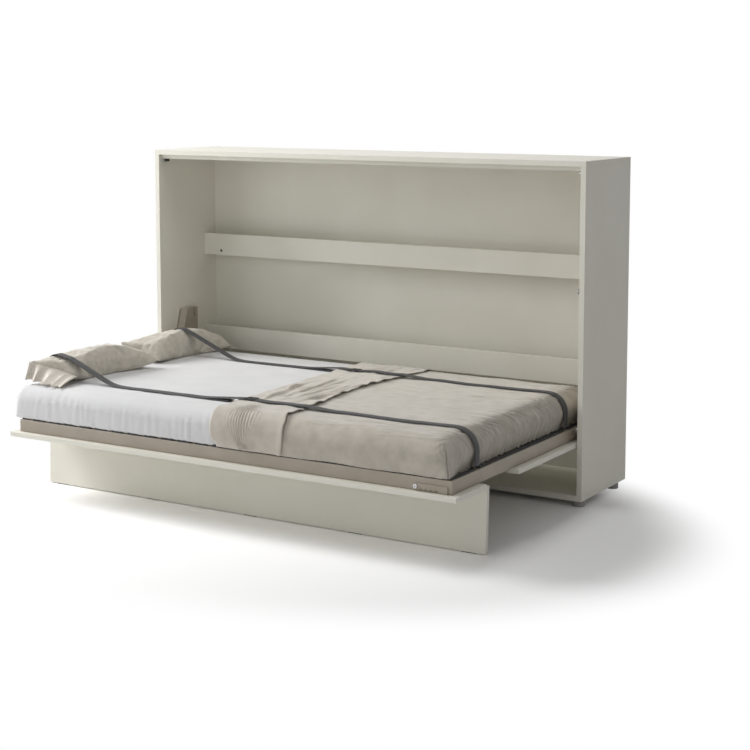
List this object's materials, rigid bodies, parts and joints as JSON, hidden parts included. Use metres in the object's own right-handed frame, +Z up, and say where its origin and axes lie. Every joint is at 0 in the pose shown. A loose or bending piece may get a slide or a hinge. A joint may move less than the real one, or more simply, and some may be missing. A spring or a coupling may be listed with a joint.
{
  "type": "horizontal wall bed",
  "caption": "Side-folding wall bed: low wide cabinet, steel-framed bed on gas struts that folds down onto a hinged leg board, with mattress, blanket, pillows and holding straps.",
  "frame": {"origin": "on the floor, at the middle of the overall box with the bed folded down", "axes": "+X along the cabinet to the foot end, +Y from the room to the wall, +Z up"},
  "size_m": [2.116, 1.437, 1.37],
  "materials": {
    "coated_board": "matt melamine-coated chipboard, warm off-white",
    "beech": "plain turned hardwood",
    "birch_ply": "lacquered laminated slats",
    "grey_plastic": "moulded grey plastic",
    "black_plastic": "moulded black plastic",
    "taupe_plastic": "moulded taupe plastic",
    "taupe_paint": "taupe powder coat",
    "black_paint": "black enamel on the strut barrel",
    "steel": "zinc-plated steel",
    "chrome": "hard-chromed rod",
    "bush_nylon": "white nylon",
    "rubber": "dark rubber",
    "sheet_cotton": "white fitted cotton sheet over a foam mattress",
    "blanket_plush": "short-pile taupe plush",
    "pillow_velvet": "taupe velvet with a satin flange",
    "webbing": "dark grey polyester webbing"
  },
  "bodies": {
    "cabinet": {"left_side": "coated_board", "right_side": "coated_board", "top_board": "coated_board", "bottom_board": "coated_board", "back_panel": "coated_board", "upper_rail": "coated_board", "lower_rail": "coated_board", "stop_strip": "coated_board", "carcass_dowels": "beech", "feet": "grey_plastic", "wall_spacers": "grey_plastic", "top_buffers": "black_plastic", "side_buffers": "black_plastic", "top_buffer_tips": "steel", "side_buffer_tips": "steel", "left_pivot_plate": "steel", "right_pivot_plate": "steel", "pivot_pins": "steel", "strut_anchor_pins": "steel", "left_mechanism_cover": "taupe_plastic", "right_mechanism_cover": "taupe_plastic"},
    "bed": {"facade_strip": "coated_board", "facade_board": "coated_board", "front_rail": "taupe_paint", "rear_rail": "taupe_paint", "left_rail": "taupe_paint", "right_rail": "taupe_paint", "centre_beam": "taupe_paint", "left_hinge_arm": "taupe_paint", "right_hinge_arm": "taupe_paint", "slats": "birch_ply", "slat_holders": "black_plastic", "strap_buckles": "black_plastic", "rail_pads": "rubber", "pivot_bushes": "bush_nylon", "strut_studs": "steel", "leg_hinge_lugs": "steel", "lever_bolt": "steel", "mattress": "sheet_cotton", "blanket": "blanket_plush", "front_pillow": "pillow_velvet", "rear_pillow": "pillow_velvet", "front_strap": "webbing", "rear_strap": "webbing"},
    "leg": {"leg_board": "coated_board", "leg_hinge_pins": "steel", "leg_glides": "rubber"},
    "lever": {"lock_lever": "taupe_paint"},
    "left_strut_cylinder": {"left_strut_cylinder": "black_paint"},
    "left_strut_rod": {"left_strut_rod": "chrome"},
    "right_strut_cylinder": {"right_strut_cylinder": "black_paint"},
    "right_strut_rod": {"right_strut_rod": "chrome"}
  },
  "joints": [
    {"name": "bed_fold", "type": "hinge", "parent": "cabinet", "child": "bed", "pos_m": [0, 0.328, 0.2975], "axis": [-1, 0, 0], "range_deg": [0, 90]},
    {"name": "leg_fold", "type": "hinge", "parent": "bed", "child": "leg", "pos_m": [0, -0.47819, 0.245], "axis": [1, 0, 0], "range_deg": [0, 92.4]},
    {"name": "lever_lift", "type": "hinge", "parent": "bed", "child": "lever", "pos_m": [0.857, -0.6945, 0.275], "axis": [0, -1, 0], "range_deg": [0, 8]},
    {"name": "left_strut_swing", "type": "hinge", "parent": "cabinet", "child": "left_strut_cylinder", "pos_m": [-1.021, 0.4865, 0.585], "axis": [-1, 0, 0], "range_deg": [0, 12.21]},
    {"name": "left_rod_slide", "type": "slide", "parent": "left_strut_cylinder", "child": "left_strut_rod", "axis": [0, -0.1663, -0.9861], "range_m": [0, 0.1369]},
    {"name": "right_strut_swing", "type": "hinge", "parent": "cabinet", "child": "right_strut_cylinder", "pos_m": [1.021, 0.4865, 0.585], "axis": [-1, 0, 0], "range_deg": [0, 12.21]},
    {"name": "right_rod_slide", "type": "slide", "parent": "right_strut_cylinder", "child": "right_strut_rod", "axis": [0, -0.1663, -0.9861], "range_m": [0, 0.1369]}
  ],
  "couplings": [
    {"joint": "left_strut_swing", "follows": "bed_fold", "ratio": 0.13515},
    {"joint": "left_rod_slide", "follows": "bed_fold", "m_per_rad": 0.086818},
    {"joint": "right_strut_swing", "follows": "bed_fold", "ratio": 0.13515},
    {"joint": "right_rod_slide", "follows": "bed_fold", "m_per_rad": 0.086818}
  ]
}
